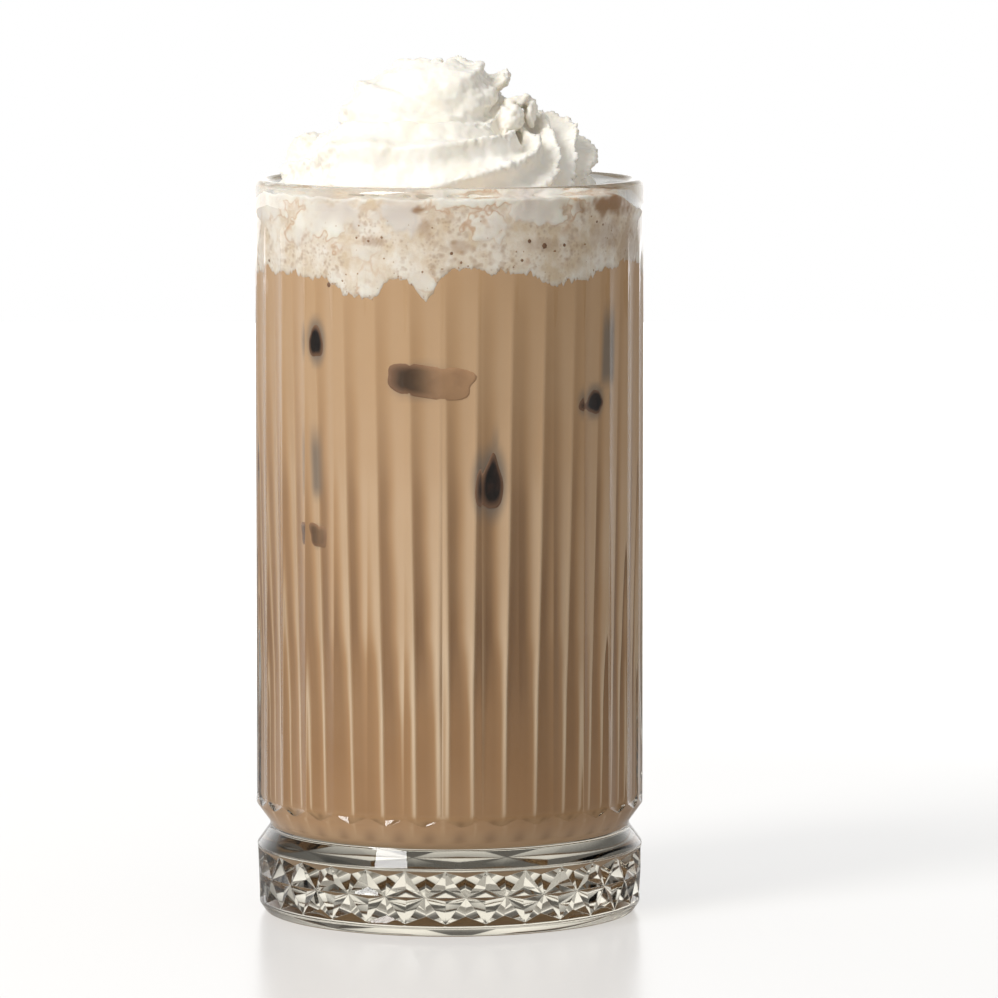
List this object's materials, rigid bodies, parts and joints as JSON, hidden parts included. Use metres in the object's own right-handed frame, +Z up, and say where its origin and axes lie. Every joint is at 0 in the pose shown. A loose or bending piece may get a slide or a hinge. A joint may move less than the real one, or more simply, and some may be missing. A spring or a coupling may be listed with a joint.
{
  "type": "iced chocolate drink in a fluted glass with whipped cream",
  "caption": "Iced chocolate frappe in a tall pressed glass with fluted walls and a star-patterned foot ring, froth and a piped cream swirl.",
  "frame": {"origin": "centre of the circle that the glass's foot stands on", "axes": "+Z up along the glass's axis; -Y is the front, with +X to the right"},
  "size_m": [0.079, 0.079, 0.1737],
  "materials": {
    "glass": "clear pressed glass, fire-polished",
    "drink": "milky chocolate drink, wet",
    "foam": "bubbly milk froth",
    "whipped_cream": "soft satin whipped cream"
  },
  "bodies": {
    "root": {"glass": "glass", "drink": "drink", "foam": "foam", "whipped_cream": "whipped_cream"}
  },
  "joints": []
}
